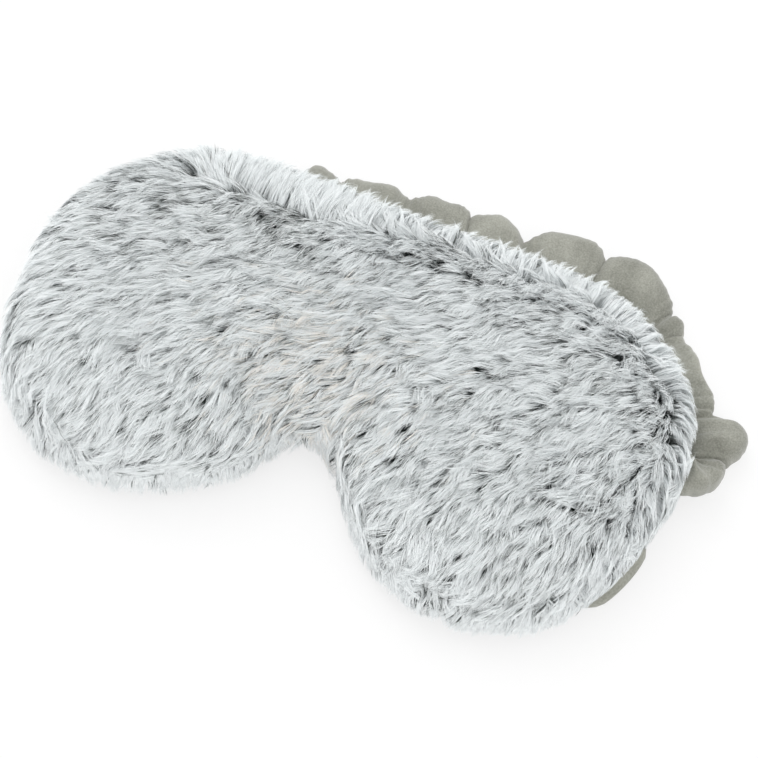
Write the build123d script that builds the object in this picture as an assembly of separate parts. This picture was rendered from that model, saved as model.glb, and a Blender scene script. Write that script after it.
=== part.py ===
from build123d import *
import math
import os

# Plush eye pillow: a two-lobed, grain-filled mask with a faux fur front, a plain plush
# back and a scrunched elastic head band. It lies on its back with the fur up.
# +X runs along its length, +Y towards the forehead edge, +Z out of the fur.
# The origin is on the back's rest face, at the middle of the nose bridge. Sizes in mm.

# Plan of the mask
lobe_spacing = 120.0        # between the centres of the two lobes
lobe_centre_y = -32.0
lobe_radius = 50.0          # cheek side of a lobe
brow_centre_y = -12.0
brow_radius = 53.0          # forehead corner of a lobe
notch_top_y = -42.0         # top of the nose notch

# Section of the mask
seam_z = 12.0               # height of the edge seam
back_margin = 28.0          # width of the sloping edge of the back
front_top_z = 27.0          # top of the front cover's knitted ground
front_run = 30.0            # width of the rounded edge of the front
pile_height = 8.0           # pile over the top of the front
pile_overhang = 7.0         # pile past the edge seam
pile_drop = 1.0             # pile reaches this far below the seam
dome_steps = 5              # sections in a rounded edge

# Fabrics and sewing
front_fabric = 1.2
back_fabric = 1.5
liner_fabric = 0.5
layer_gap = 0.3             # between one layer and the next
lip_thickness = 1.0         # front cover's seam allowance, turned in
lip_gap = 0.4               # seam allowance to liner
liner_allowance = 3.0
filling_side_gap = 0.4
thread = 0.5
thread_gap = 0.05
cover_stitch_line = 2.0     # cover's edge to its row of stitches
liner_stitch_line = 1.2
divider_width = 5.0         # flat strip of liner between the two fillings
stitch_length = 3.0
stitch_space = 1.0
turning_gap_length = 60.0
turning_stitch_pitch = 6.0

# Band and its sewn-in ends
hinge_y = -10.0             # line through both sewn-in ends, at seam height
end_radius = 7.0            # gathered roll at each sewn-in end
end_gap = 0.4               # roll to moving sleeve
left_end_length = 6.2
right_end_length = 15.7
end_start_gap = 0.3         # cover's edge to roll
tongue_wall = 1.0           # sleeve fabric beside the elastic
tongue_thickness = 1.8
tongue_depth = 4.1          # reach of a sewn-in tongue into the seam
slot_gap = 0.1
elastic_width = 10.0
elastic_thickness = 0.6
elastic_gap = 0.2
tack_bars = 6
tack_length = 0.9
tack_line = 3.0             # cover's edge to the bar tack
sleeve_width = 18.0
sleeve_floor_z = 0.1
sleeve_gap = 0.6            # sleeve to the sloping edge of the back
gather_gap = 0.4            # full gathers to the pile's overhang
gather_radius = 11.0
gather_shift = 3.0          # gathers bulge away from the mask
gather_pitch = 23.0
band_inset = 1.0            # band's middle line inside the left edge of the mask
band_outset = 10.0          # band's middle line outside the right edge
left_start_angle = 3.0      # above the brow centre, where the sleeve's left end starts
right_end_angle = 3.0
first_gather_x = -44.0

half_spacing = lobe_spacing / 2
notch_rise = lobe_centre_y - notch_top_y
notch_radius = (half_spacing**2 + notch_rise**2 - lobe_radius**2) / (lobe_radius - notch_rise) / 2
notch_centre_y = notch_top_y - notch_radius
pile_base_z = seam_z - pile_drop
notch_angle = math.degrees(math.atan2(lobe_centre_y - notch_centre_y, half_spacing))
side_angle = math.degrees(math.asin((brow_radius - lobe_radius) / (brow_centre_y - lobe_centre_y)))
edge_slope = seam_z / back_margin
slope_angle = math.degrees(math.atan(edge_slope))
sleeve_top_z = seam_z - edge_slope * (sleeve_width / 2 + band_inset) - sleeve_gap
gather_top_z = pile_base_z - gather_gap


def outline(inset, z):
    """Closed outline of the mask, moved inwards by inset, at height z."""
    lobe_r, brow_r, notch_r = lobe_radius - inset, brow_radius - inset, notch_radius + inset
    lobe_sweep = 180 - side_angle - notch_angle
    right, left = half_spacing, -half_spacing
    arcs = [
        CenterArc((0, notch_centre_y), notch_r, 180 - notch_angle, 2 * notch_angle - 180),
        CenterArc((right, lobe_centre_y), lobe_r, 180 + notch_angle, lobe_sweep),
        CenterArc((right, brow_centre_y), brow_r, -side_angle, 90 + side_angle),
        CenterArc((left, brow_centre_y), brow_r, 90, 90 + side_angle),
        CenterArc((left, lobe_centre_y), lobe_r, 180 + side_angle, lobe_sweep),
    ]
    notch, right_lobe, right_brow, left_brow, left_lobe = arcs
    edges = [
        notch,
        right_lobe,
        Line(right_lobe @ 1, right_brow @ 0),
        right_brow,
        Line(right_brow @ 1, left_brow @ 0),
        left_brow,
        Line(left_brow @ 1, left_lobe @ 0),
        left_lobe,
    ]
    return Pos(0, 0, z) * Wire(edges)


def plate(inset, low_z, high_z):
    """Flat slab of the mask's outline."""
    return extrude(Face(outline(inset, low_z)), high_z - low_z)


def front_form(side, run, low_z, top_z):
    """Rounded cap: a quarter ellipse from the edge up to a flat crown."""
    turns = [math.radians(90 * n / dome_steps) for n in range(dome_steps + 1)]
    return Solid.make_loft(
        [outline(side + run * (1 - math.cos(t)), low_z + (top_z - low_z) * math.sin(t)) for t in turns],
        ruled=True,
    )


def back_form(gap, side=None):
    """Shallow dish: a flat floor and a straight slope up to the seam, moved inwards by gap."""
    steep = gap / math.cos(math.radians(slope_angle))
    seam_inset = steep / edge_slope if side is None else side
    floor_inset = back_margin + (steep - gap) / edge_slope
    return Solid.make_loft([outline(floor_inset, gap), outline(seam_inset, seam_z)], ruled=True)


def box_between(low, high):
    """Box from its lowest to its highest corner."""
    size = [b - a for a, b in zip(low, high)]
    return Pos(*low) * Box(*size, align=(Align.MIN, Align.MIN, Align.MIN))


def divider(width):
    """Space over the nose that the liner's dividing seam closes."""
    reach = lobe_spacing
    return box_between((-width / 2, -reach, 0), (width / 2, reach, front_top_z + pile_height))


def ring(inset, width, low_z, height):
    """Thread that follows the edge."""
    return plate(inset, low_z, low_z + height) - plate(inset + width, low_z, low_z + height)


tongue_width = elastic_width + 2 * tongue_wall
mask_half_length = half_spacing + brow_radius
top_edge_y = brow_centre_y + brow_radius
sides = {"left": -1, "right": 1}
end_lengths = {"left": left_end_length, "right": right_end_length}


def along_hinge(radius, side, start, length):
    """Cylinder round the hinge line, outwards from start."""
    middle = sides[side] * (start + length / 2)
    return Pos(middle, hinge_y, seam_z) * Rot(0, 90, 0) * Cylinder(radius, length)


def across_seam(side, start, end, width, low_z, high_z):
    """Block through the edge seam at a band end, between two distances from the middle."""
    near, far = sorted((sides[side] * start, sides[side] * end))
    return box_between((near, hinge_y - width / 2, low_z), (far, hinge_y + width / 2, high_z))


# Covers
liner_side = (back_fabric + layer_gap) / math.cos(math.radians(slope_angle)) / edge_slope
lip_top_z = seam_z + lip_thickness


def band_end_room():
    """Slots for the sewn-in tongues and pockets in the pile for the gathered rolls."""
    room = []
    slot_half = tongue_thickness / 2 + slot_gap
    for side in sides:
        inner = mask_half_length - tongue_depth - 2 * slot_gap
        room.append(
            across_seam(
                side, inner, mask_half_length + 2 * end_start_gap + slot_gap,
                tongue_width + 4 * slot_gap, seam_z - slot_half, seam_z + slot_half,
            )
        )
        pocket = end_radius + 2 * slot_gap
        room.append(along_hinge(pocket, side, mask_half_length + slot_gap, pile_overhang + end_radius))
    return room


def front_cover():
    pile = front_form(-pile_overhang, front_run + pile_overhang, pile_base_z, front_top_z + pile_height)
    cavity = front_form(front_fabric, front_run, seam_z, front_top_z - front_fabric)
    lip = ring(0, liner_side - lip_gap, seam_z, lip_thickness)
    cover = pile - plate(0, pile_base_z, seam_z) - cavity + lip
    for room in band_end_room():
        cover -= room
    return cover


def back_cover():
    cover = back_form(0) - back_form(back_fabric)
    for room in band_end_room():
        cover -= room
    return cover


def cover_seam_thread():
    return ring(cover_stitch_line, thread, lip_top_z + thread_gap, thread)


def turning_gap_stitches():
    """Short stitches that close the turning gap, just below the edge of the back."""
    stitches = []
    count = int(turning_gap_length / turning_stitch_pitch)
    drop = (thread / 2 + thread_gap) / math.cos(math.radians(slope_angle))
    middle = 2 * thread + stitch_length / 2
    for n in range(count):
        x = (n - (count - 1) / 2) * turning_stitch_pitch
        y, z = top_edge_y - middle, seam_z - middle * edge_slope - drop
        stitches.append(Pos(x, y, z) * Rot(slope_angle, 0, 0) * Box(thread, stitch_length, thread))
    return stitches


# Liner and filling
def liner_front():
    top_z = front_top_z - front_fabric - layer_gap
    run = front_run - liner_allowance
    outer = front_form(liner_side, run, seam_z, top_z) - divider(divider_width)
    inner = front_form(liner_side + liner_fabric, run, seam_z, top_z - liner_fabric)
    inner -= divider(divider_width + 2 * liner_fabric)
    lip = ring(liner_side, liner_allowance, seam_z, liner_fabric)
    web = plate(liner_side, seam_z, seam_z + liner_fabric) & divider(divider_width)
    return outer - inner + lip + web


def liner_back():
    gap = back_fabric + layer_gap
    outer = back_form(gap) - divider(divider_width)
    inner = back_form(gap + liner_fabric) - divider(divider_width + 2 * liner_fabric)
    web = plate(liner_side, seam_z - liner_fabric, seam_z) & divider(divider_width)
    web &= back_form(gap)
    return outer - inner + web


def liner_seam_thread():
    thread_ring = ring(
        liner_side + liner_stitch_line, thread, seam_z + liner_fabric + thread_gap, thread
    )
    return thread_ring - divider(divider_width + 2 * liner_fabric + 2 * thread_gap)


def divider_stitches():
    stitches = []
    low_y = notch_centre_y + notch_radius + liner_side + liner_allowance + stitch_length
    high_y = top_edge_y - liner_side - liner_allowance - stitch_length
    pitch = stitch_length + stitch_space
    count = int((high_y - low_y) / pitch)
    low_z = seam_z + liner_fabric + thread_gap
    for n in range(count):
        y = low_y + pitch * n
        high = (thread / 2, y + stitch_length, low_z + thread)
        stitches.append(box_between((-thread / 2, y, low_z), high))
    return stitches


def fillings():
    side = liner_side + liner_allowance + filling_side_gap
    top_z = front_top_z - front_fabric - liner_fabric - 2 * layer_gap
    floor_gap = back_fabric + liner_fabric + 2 * layer_gap
    upper = front_form(side, front_run - liner_allowance - filling_side_gap, seam_z, top_z)
    whole = upper + back_form(floor_gap, side)
    whole -= divider(divider_width + 2 * liner_fabric + 2 * layer_gap)
    halves = sorted(whole.solids(), key=lambda s: s.center().X)
    return {"left": halves[0], "right": halves[1]}


# Sewn-in band ends
def elastic_end(side):
    half = elastic_thickness / 2
    return across_seam(
        side, mask_half_length - tongue_depth, mask_half_length + end_start_gap + end_lengths[side],
        elastic_width, seam_z - half, seam_z + half,
    )


def sleeve_end(side):
    start = mask_half_length + end_start_gap
    half = tongue_thickness / 2
    tongue = across_seam(
        side, mask_half_length - tongue_depth, start + end_start_gap,
        tongue_width, seam_z - half, seam_z + half,
    )
    hollow = elastic_thickness / 2 + slot_gap
    channel = across_seam(
        side, 0, start + 2 * end_lengths[side],
        elastic_width + 2 * slot_gap, seam_z - hollow, seam_z + hollow,
    )
    return tongue + along_hinge(end_radius, side, start, end_lengths[side]) - channel


def bar_tack(side):
    bars = []
    low_z = seam_z + tongue_thickness / 2 + thread_gap
    pitch = elastic_width / tack_bars
    near = mask_half_length - tack_line - tack_length
    for n in range(tack_bars):
        bar = across_seam(side, near, near + tack_length, thread, low_z, low_z + thread)
        bars.append(Pos(0, (n - (tack_bars - 1) / 2) * pitch, 0) * bar)
    return bars


# Moving band
def band_route():
    """Middle line of the band: under the left lobe's edge, then outside the right one's."""
    left_r, right_r = brow_radius - band_inset, brow_radius + band_outset
    left = CenterArc(
        (-half_spacing, brow_centre_y), left_r, 180 - left_start_angle, left_start_angle - 90
    )
    right = CenterArc((half_spacing, brow_centre_y), right_r, 90, right_end_angle - 90)
    middle = (left @ 1 + right @ 0) / 2
    out = TangentArc(left @ 1, middle, tangent=(1, 0))
    back = TangentArc(right @ 0, middle, tangent=(-1, 0))
    return Wire([left, out, back, right])


def strip(width, low_z, high_z):
    """Flat strip along the band's route."""
    return extrude(Pos(0, 0, low_z) * trace(band_route(), width), high_z - low_z)


def gather(route, part):
    """One rounded gather of the sleeve, full height where it lies clear of the mask's edge."""
    at, ahead = route @ part, route % part
    outwards = Vector(-ahead.Y, ahead.X) * gather_shift
    middle = at + outwards
    from_brow = Vector(max(abs(middle.X) - half_spacing, 0), middle.Y - brow_centre_y).length
    clear = from_brow - gather_radius > brow_radius - (seam_z - gather_top_z - layer_gap) / edge_slope
    top = gather_top_z if clear else sleeve_top_z
    puff = Cylinder(gather_radius, top - sleeve_floor_z, align=(Align.CENTER, Align.CENTER, Align.MIN))
    return Pos(middle.X, middle.Y, sleeve_floor_z) * puff


def swing_room(side):
    """Room under a sewn-in end, so that the sleeve clears the mask when it swings straight back."""
    reach = lobe_radius
    start_y = hinge_y + seam_z - pile_base_z + layer_gap
    plan = [
        (mask_half_length + reach, start_y),
        (mask_half_length, start_y),
        (mask_half_length - reach, start_y + reach * edge_slope),
        (mask_half_length - reach, hinge_y - reach),
        (mask_half_length + reach, hinge_y - reach),
    ]
    corners = [(sides[side] * x, y) for x, y in plan]
    return extrude(make_face(Polyline(*corners, close=True)), gather_top_z)


def trim_ends(piece):
    """Cuts both ends back to the rolls they turn round."""
    for side in sides:
        piece -= along_hinge(end_radius + end_gap, side, mask_half_length - lobe_radius, lobe_spacing)
        piece -= swing_room(side)
    return piece


def band_sleeve():
    route = band_route()
    sleeve = strip(sleeve_width, sleeve_floor_z, sleeve_top_z)
    left_length = math.radians(90 - left_start_angle) * (brow_radius - band_inset)
    start = left_length + half_spacing + first_gather_x
    count = int((route.length - start - gather_radius / 2) / gather_pitch) + 1
    for n in range(count):
        sleeve += gather(route, (start + n * gather_pitch) / route.length)
    low_z = elastic_low_z - elastic_gap
    high_z = elastic_low_z + elastic_thickness + elastic_gap
    sleeve -= strip(elastic_width + 2 * elastic_gap, low_z, high_z)
    sleeve -= strip(thread + 4 * thread_gap, sleeve_floor_z, sleeve_floor_z + thread + 2 * thread_gap)
    return trim_ends(sleeve)


elastic_low_z = (sleeve_floor_z + sleeve_top_z - elastic_thickness) / 2


def in_sleeve(width, low_z, high_z):
    """Strip inside the sleeve that ends where the sleeve does."""
    return trim_ends(strip(width, low_z, high_z))


def band_elastic():
    return in_sleeve(elastic_width, elastic_low_z, elastic_low_z + elastic_thickness)


def sleeve_seam_thread():
    low_z = sleeve_floor_z + thread_gap
    return in_sleeve(thread, low_z, low_z + thread)


halves = fillings()
nodes = {
    "front_cover": front_cover(),
    "back_cover": back_cover(),
    "cover_seam_thread": cover_seam_thread(),
    "turning_gap_stitches": turning_gap_stitches(),
    "liner_front": liner_front(),
    "liner_back": liner_back(),
    "liner_seam_thread": liner_seam_thread(),
    "divider_stitches": divider_stitches(),
    "band_sleeve": band_sleeve(),
    "band_elastic": band_elastic(),
    "sleeve_seam_thread": sleeve_seam_thread(),
}
for side in sides:
    nodes[f"filling_{side}"] = halves[side]
    nodes[f"sleeve_end_{side}"] = sleeve_end(side)
    nodes[f"elastic_end_{side}"] = elastic_end(side)
    nodes[f"bar_tack_{side}"] = bar_tack(side)

os.makedirs("parts", exist_ok=True)
for name, shape in nodes.items():
    solids = shape if isinstance(shape, list) else [shape]
    export_step(Compound(solids) if len(solids) > 1 else solids[0], f"parts/{name}.step")
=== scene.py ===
import math

import bpy
import numpy as np
from mathutils import Matrix, Vector
from mathutils.geometry import delaunay_2d_cdt


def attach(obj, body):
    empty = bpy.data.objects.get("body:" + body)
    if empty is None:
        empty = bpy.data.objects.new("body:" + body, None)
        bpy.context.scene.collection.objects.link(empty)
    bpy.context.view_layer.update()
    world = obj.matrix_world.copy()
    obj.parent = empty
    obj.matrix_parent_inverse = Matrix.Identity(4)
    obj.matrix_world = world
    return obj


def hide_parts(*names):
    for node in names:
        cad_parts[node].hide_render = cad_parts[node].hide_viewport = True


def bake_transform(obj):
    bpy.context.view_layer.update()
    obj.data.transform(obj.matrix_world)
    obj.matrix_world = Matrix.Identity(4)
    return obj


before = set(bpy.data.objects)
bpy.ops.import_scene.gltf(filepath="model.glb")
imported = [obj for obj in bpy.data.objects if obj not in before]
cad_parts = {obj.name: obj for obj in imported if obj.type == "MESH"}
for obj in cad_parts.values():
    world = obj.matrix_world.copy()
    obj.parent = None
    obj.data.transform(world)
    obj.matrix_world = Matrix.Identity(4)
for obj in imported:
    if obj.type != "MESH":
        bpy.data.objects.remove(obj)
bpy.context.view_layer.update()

# Looks of a plush eye pillow. Lengths are in mm until a mesh is made; the camera, the lights, the
# floor and the materials are in metres.
MM = 0.001
rng = np.random.default_rng(7)

# Plan of the mask, as in the CAD model
HALF_SPACING = 60.0
LOBE_Y, LOBE_R = -32.0, 50.0
BROW_Y, BROW_R = -12.0, 53.0
NOTCH_Y, NOTCH_R = -57.0, 15.0
HALF_LENGTH = HALF_SPACING + BROW_R
TOP_Y = BROW_Y + BROW_R
BOTTOM_Y = LOBE_Y - LOBE_R

# Section of the mask
SEAM_Z = 12.0
CROWN_Z = 27.0
CROWN_RUN = 30.0            # width of the rounded edge of the front
BRIDGE_DIP = 3.0            # the front is this much lower over the nose
BRIDGE_WIDTH = 15.0
BACK_MARGIN = 28.0          # width of the sloping edge of the back
BACK_BULGE = 8.5            # how far the back's plush bulges out at the lower right edge
BACK_BULGE_DEPTH = 24.0
BACK_BULGE_SAG = 1.4
PUCKERS = 58                # waves in one turn round the seam
PUCKER_HEIGHT = 0.35

# Meshes of the covers: spacing of their points, and rings of points inside the edge
TRIANGLE_ROW = 0.87         # height of a row in a triangular grid, by its spacing
FRONT_STEP, FRONT_RINGS = 2.6, (0.3, 1.0, 2.2, 4.0, 6.5)
BACK_STEP, BACK_RINGS = 2.2, (0.5, 1.3, 2.6, 4.4, 6.6, 8.8)

# Pile
LOCK_SPACING = 3.5
EDGE_RINGS = (0.15, 1.1, 2.6)
TUFTS_PER_LOCK = 13
STRANDS_PER_TUFT = 6
STRAND_SEGMENTS = 4
STRAND_WIDTH = 0.16
STRAND_TAPER = ((0, 0.3, 0.6, 1), (0.8, 1.0, 0.9, 0.12))
STRAND_SPREAD = 0.36        # how far strands start from their tuft's middle
DARK_GATHER = 0.42          # share of that distance in a dark tuft
TUFT_DRIFT = 0.75           # how far tufts stray from their lock by their tips
STRAND_FLY = 0.5            # how far strands stray from their tuft by their tips
PILE_LENGTH = 13.5
BRUSHED = -126              # main direction of the nap, in degrees from +X
ROOT_LIFT, TIP_LIFT = 60, 12                    # how steeply a lock rises, in degrees
STANDING_ROOT, STANDING_TIP = 10, 34            # added to those where the pile stands up
LIFT_SPREAD = 6
OVERHANG = 4.6              # free overhang; beyond it the pile is clipped closer
LEFT_BROW = (152, 42)       # direction from the left brow's centre, and width, in degrees

# Colours
PALE_TIP = (0.92, 0.95, 0.955)
PALE_WARM = (0.94, 0.91, 0.86)
MID_GREY = (0.34, 0.37, 0.36)
MID_WARM = (0.42, 0.38, 0.33)
DARK_ROOT = (0.045, 0.055, 0.05)
GROUND_DARK = (0.09, 0.105, 0.10)
GROUND_LIGHT = (0.20, 0.225, 0.215)
BAND_DARK = (0.165, 0.167, 0.140)
BAND_LIGHT = (0.41, 0.412, 0.362)
ELASTIC_DARK = (0.55, 0.53, 0.48)
ELASTIC_LIGHT = (0.82, 0.80, 0.75)
THREAD_DARK = (0.22, 0.22, 0.18)
THREAD_LIGHT = (0.46, 0.46, 0.40)
COTTON_DARK = (0.58, 0.55, 0.48)
COTTON_LIGHT = (0.84, 0.81, 0.74)
HUSK = (0.62, 0.44, 0.24)
# painted shade in the gaps between the grain's kernels
SHADE_BETWEEN_HUSKS = (0.22, 0.14, 0.07)
LAVENDER = (0.18, 0.12, 0.30)

# The pile's colour map: its width holds the tones, its height runs from root to tip
DARK_TO = 0.3               # strands left of this are dark nearly to their tips
WARM_FROM = 0.9             # strands right of this are cream
DARK_TONES = (0.03, 0.24)   # start and width of each run of tones
PLAIN_TONES = (0.34, 0.53)
CREAM_TONES = (0.92, 0.05)
TONE_HALF_WIDTH = 0.0006    # half the width of one strand
ROOT_LEVEL, TIP_LEVEL = 0.05, 0.98
DARK_STRANDS = 0.92         # share of a dark tuft's strands that are dark
DARK_SHIFT = (-0.66, -0.36) # how far up a dark strand its root's colour is moved
TONE_RANGE = (0.92, 1.04)   # brightness from tuft to tuft


# ---- shape of the mask ----
NOTCH_ANGLE = math.atan2(LOBE_Y - NOTCH_Y, HALF_SPACING)
SIDE_ANGLE = math.asin((BROW_R - LOBE_R) / (BROW_Y - LOBE_Y))
SIDE_NORMAL = np.array([math.cos(SIDE_ANGLE), -math.sin(SIDE_ANGLE)])


def inset(x, y):
    """Distance inside the mask's outline."""
    ax = np.abs(x)
    bx, by = ax - HALF_SPACING, y - BROW_Y
    lx, ly = ax - HALF_SPACING, y - LOBE_Y
    nx, ny = ax, y - NOTCH_Y
    brow_a, lobe_a, notch_a = np.arctan2(by, bx), np.arctan2(ly, lx), np.arctan2(ny, nx)
    far = 1e3
    top = np.where(ax <= HALF_SPACING, TOP_Y - y, far)
    in_brow = (brow_a >= -SIDE_ANGLE) & (brow_a <= math.pi / 2)
    brow = np.where(in_brow, BROW_R - np.hypot(bx, by), far)
    in_lobe = (lobe_a <= -SIDE_ANGLE) & (lobe_a >= NOTCH_ANGLE - math.pi)
    lobe = np.where(in_lobe, LOBE_R - np.hypot(lx, ly), far)
    in_notch = (notch_a >= NOTCH_ANGLE) & (notch_a <= math.pi / 2)
    notch = np.where(in_notch, np.hypot(nx, ny) - NOTCH_R, far)
    along = -SIDE_NORMAL[1] * lx + SIDE_NORMAL[0] * ly
    reach = (BROW_Y - LOBE_Y) * SIDE_NORMAL[0]
    beside = (along >= 0) & (along <= reach) & (lx > 0)
    side = np.where(beside, LOBE_R - (SIDE_NORMAL[0] * lx + SIDE_NORMAL[1] * ly), far)
    return np.minimum.reduce([top, brow, lobe, notch, side])


def inward(x, y):
    """Unit direction in plan that leads into the mask."""
    e = 0.2
    gx = inset(x + e, y) - inset(x - e, y)
    gy = inset(x, y + e) - inset(x, y - e)
    size = np.maximum(np.hypot(gx, gy), 1e-6)
    return gx / size, gy / size


def side_points(start, end, step):
    """Points between two others, about step apart."""
    count = max(2, int(math.dist(start, end) / step))
    return [tuple(p) for p in np.linspace(start, end, count + 1)[1:-1]]


def outline_points(d, step):
    """Points round the outline moved inwards by d, about step apart."""
    notch_r, lobe_r, brow_r = NOTCH_R + d, LOBE_R - d, BROW_R - d
    right = []
    arcs = [
        (0, NOTCH_Y, notch_r, math.pi / 2, NOTCH_ANGLE),
        (HALF_SPACING, LOBE_Y, lobe_r, NOTCH_ANGLE - math.pi, -SIDE_ANGLE),
        (HALF_SPACING, BROW_Y, brow_r, -SIDE_ANGLE, math.pi / 2),
    ]
    for cx, cy, r, start, end in arcs:
        if cy == BROW_Y:
            arc_start = (cx + r * math.cos(start), cy + r * math.sin(start))
            right.extend(side_points(right[-1], arc_start, step))
        count = max(3, int(abs(end - start) * r / step))
        for a in np.linspace(start, end, count):
            right.append((cx + r * math.cos(a), cy + r * math.sin(a)))
    top = TOP_Y - d
    for x in np.arange(HALF_SPACING - step, 0, -step):
        right.append((x, top))
    left = [(-x, y) for x, y in reversed(right) if x > step / 2]
    return np.array(right + left)


def smooth_noise(x, y, scale, seed):
    """Soft bumps between about -1 and 1."""
    r = np.random.default_rng(seed)
    total = np.zeros_like(x)
    for _ in range(6):
        a, phase = r.uniform(0, 2 * math.pi, 2)
        k = r.uniform(0.6, 1.5) / scale
        total += np.sin((x * math.cos(a) + y * math.sin(a)) * k * 2 * math.pi + phase)
    return total / 3.0


def turn(d):
    """Angle round the front's elliptical edge, 0 at the seam and 90 degrees on the crown."""
    return np.arccos(np.clip(1 - d / CROWN_RUN, 0, 1))


def front_z(x, y):
    """Height of the front's knitted ground."""
    d = np.maximum(inset(x, y), 0)
    t = turn(d)
    z = SEAM_Z + (CROWN_Z - SEAM_Z) * np.sin(t)
    bridge = np.exp(-((x / BRIDGE_WIDTH) ** 2)) * np.sin(t) ** 2
    return z - BRIDGE_DIP * bridge + 0.8 * smooth_noise(x, y, 42, 3) * np.sin(t)


def front_normal(x, y):
    """Outward normal of the front's ground."""
    e = 0.4
    gx, gy = inward(x, y)
    d = np.maximum(inset(x, y), 0)
    t = turn(d)
    out, up = np.cos(t) / CROWN_RUN, np.maximum(np.sin(t), 0.02) / (CROWN_Z - SEAM_Z)
    n = np.stack([-gx * out, -gy * out, up], -1)
    crown = t > 1.2
    slope_x = (front_z(x + e, y) - front_z(x - e, y)) / (2 * e)
    slope_y = (front_z(x, y + e) - front_z(x, y - e)) / (2 * e)
    flat = np.stack([-slope_x, -slope_y, np.ones_like(x)], -1)
    n = np.where(crown[..., None], flat, n)
    return n / np.linalg.norm(n, axis=-1, keepdims=True)


# ---- mesh and material helpers ----
def new_object(name, verts, faces, material, smooth=True):
    """Mesh object from points in mm."""
    mesh = bpy.data.meshes.new(name)
    mesh.from_pydata((np.asarray(verts) * MM).tolist(), [], [tuple(f) for f in faces])
    mesh.update()
    obj = bpy.data.objects.new(name, mesh)
    bpy.context.collection.objects.link(obj)
    mesh.materials.append(material)
    mesh.polygons.foreach_set("use_smooth", [smooth] * len(mesh.polygons))
    return obj


def new_material(name, roughness, specular, sheen=0.0):
    """Node material: itself, its node tree and its shader."""
    material = bpy.data.materials.new(name)
    material.use_nodes = True
    shader = material.node_tree.nodes["Principled BSDF"]
    shader.inputs["Roughness"].default_value = roughness
    shader.inputs["Specular IOR Level"].default_value = specular
    shader.inputs["Sheen Weight"].default_value = sheen
    return material, material.node_tree, shader


def node(tree, kind, **values):
    """New node, with values for its sockets or settings."""
    made = tree.nodes.new(kind)
    for key, value in values.items():
        if key in made.inputs:
            made.inputs[key].default_value = value
        else:
            setattr(made, key, value)
    return made


def calc(tree, operation, *values):
    """Math node on numbers or other nodes' outputs; gives its own output."""
    made = node(tree, "ShaderNodeMath", operation=operation)
    for socket, value in zip(made.inputs, values):
        if isinstance(value, bpy.types.NodeSocket):
            tree.links.new(value, socket)
        else:
            socket.default_value = value
    return made.outputs["Value"]


def texture(tree, kind, **values):
    """Texture node in the object's own coordinates."""
    made = node(tree, kind, **values)
    place = node(tree, "ShaderNodeTexCoord")
    tree.links.new(place.outputs["Object"], made.inputs["Vector"])
    return made


def relief(tree, shader, height, strength, distance, invert=False):
    """Bump from another node's output."""
    push = node(tree, "ShaderNodeBump", Strength=strength, Distance=distance, invert=invert)
    tree.links.new(height, push.inputs["Height"])
    tree.links.new(push.outputs["Normal"], shader.inputs["Normal"])


def ramp(tree, source, stops):
    """Colour ramp with (position, colour) stops."""
    made = tree.nodes.new("ShaderNodeValToRGB")
    elements = made.color_ramp.elements
    while len(elements) < len(stops):
        elements.new(0.5)
    for element, (position, colour) in zip(elements, stops):
        element.position = position
        element.color = (*colour, 1)
    tree.links.new(source, made.inputs["Fac"])
    return made


def along_strand(tree, source, middle, tip):
    """Colours from root to tip."""
    return ramp(tree, source, [(0.22, DARK_ROOT), (0.32, middle), (0.42, tip), (1.0, tip)])


def pile_material():
    """Frosted pile: the map's height runs from root to tip, its width from tuft to tuft."""
    material, tree, shader = new_material("frosted_pile", roughness=0.5, specular=0.3)
    uv = node(tree, "ShaderNodeUVMap", uv_map="OFBake")
    split = node(tree, "ShaderNodeSeparateXYZ")
    tree.links.new(uv.outputs["UV"], split.inputs["Vector"])
    tone, level = split.outputs["X"], split.outputs["Y"]
    shade = node(tree, "ShaderNodeTexNoise", noise_dimensions="1D", Scale=83.0, Detail=2.0)
    tree.links.new(tone, shade.inputs["W"])
    how_dark = node(tree, "ShaderNodeMapRange")
    how_dark.inputs["From Min"].default_value = 0.3
    how_dark.inputs["From Max"].default_value = 0.7
    how_dark.inputs["To Min"].default_value = DARK_SHIFT[0]
    how_dark.inputs["To Max"].default_value = DARK_SHIFT[1]
    tree.links.new(shade.outputs["Fac"], how_dark.inputs["Value"])
    may_be_dark = calc(tree, "LESS_THAN", tone, DARK_TO)
    darker = calc(tree, "MULTIPLY", how_dark.outputs["Result"], may_be_dark)
    shift = calc(tree, "ADD", darker, level)
    cool = along_strand(tree, shift, MID_GREY, PALE_TIP)
    warm = along_strand(tree, shift, MID_WARM, PALE_WARM)
    tint = node(tree, "ShaderNodeMix", data_type="RGBA")
    tree.links.new(calc(tree, "GREATER_THAN", tone, WARM_FROM), tint.inputs["Factor"])
    tree.links.new(cool.outputs["Color"], tint.inputs["A"])
    tree.links.new(warm.outputs["Color"], tint.inputs["B"])
    vary = node(tree, "ShaderNodeMapRange")
    vary.inputs["To Min"].default_value = TONE_RANGE[0]
    vary.inputs["To Max"].default_value = TONE_RANGE[1]
    tree.links.new(shade.outputs["Fac"], vary.inputs["Value"])
    scale = node(tree, "ShaderNodeVectorMath", operation="SCALE")
    tree.links.new(tint.outputs["Result"], scale.inputs[0])
    tree.links.new(vary.outputs["Result"], scale.inputs["Scale"])
    tree.links.new(scale.outputs["Vector"], shader.inputs["Base Color"])
    return material


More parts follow.
